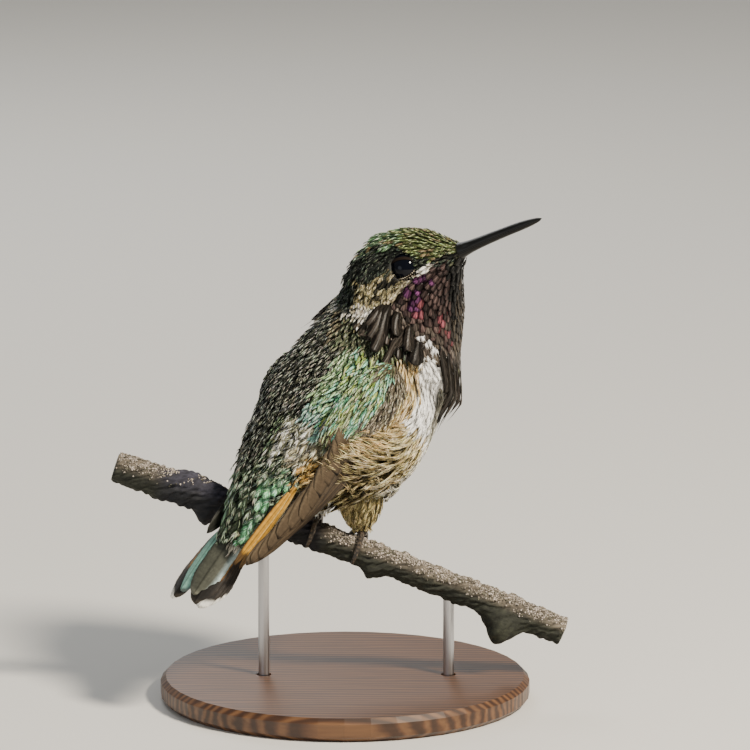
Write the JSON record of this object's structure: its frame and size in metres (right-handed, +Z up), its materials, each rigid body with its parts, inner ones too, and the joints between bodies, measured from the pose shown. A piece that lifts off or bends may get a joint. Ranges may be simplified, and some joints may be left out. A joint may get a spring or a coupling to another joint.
{
  "type": "hummingbird model",
  "caption": "Life-size model of a small hummingbird perched with folded wings on a cut twig, held over a round base by short rods.",
  "frame": {"origin": "middle of the underside of the stand's round base", "axes": "+Z up; +X along the twig, towards its lower end and the side the bill points to; -Y towards the side whose view shows the bird's back and right flank"},
  "size_m": [0.0618, 0.05, 0.067],
  "materials": {
    "crown_feathers": "glossy overlapping scale feathers",
    "gorget_feathers": "glossy overlapping scale feathers",
    "body_feathers": "soft overlapping feathers",
    "wing_feathers": "smooth flight feathers",
    "tail_feathers": "smooth flight feathers",
    "thigh_feathers": "downy",
    "foot_skin": "dry scaled skin",
    "eye": "wet gloss",
    "bill": "satin horn",
    "bark": "rough bark",
    "stand_wood": "waxed",
    "stand_steel": "brushed"
  },
  "bodies": {
    "root": {"head": "crown_feathers", "neck": "gorget_feathers", "trunk": "body_feathers", "wing_left": "wing_feathers", "wing_right": "wing_feathers", "tail": "tail_feathers", "leg_left": "thigh_feathers", "leg_right": "thigh_feathers", "foot_left": "foot_skin", "foot_right": "foot_skin", "eye_left": "eye", "eye_right": "eye", "bill_upper": "bill", "bill_lower": "bill", "perch": "bark", "stand_base": "stand_wood", "stand_rod_left": "stand_steel", "stand_rod_right": "stand_steel"}
  },
  "joints": []
}
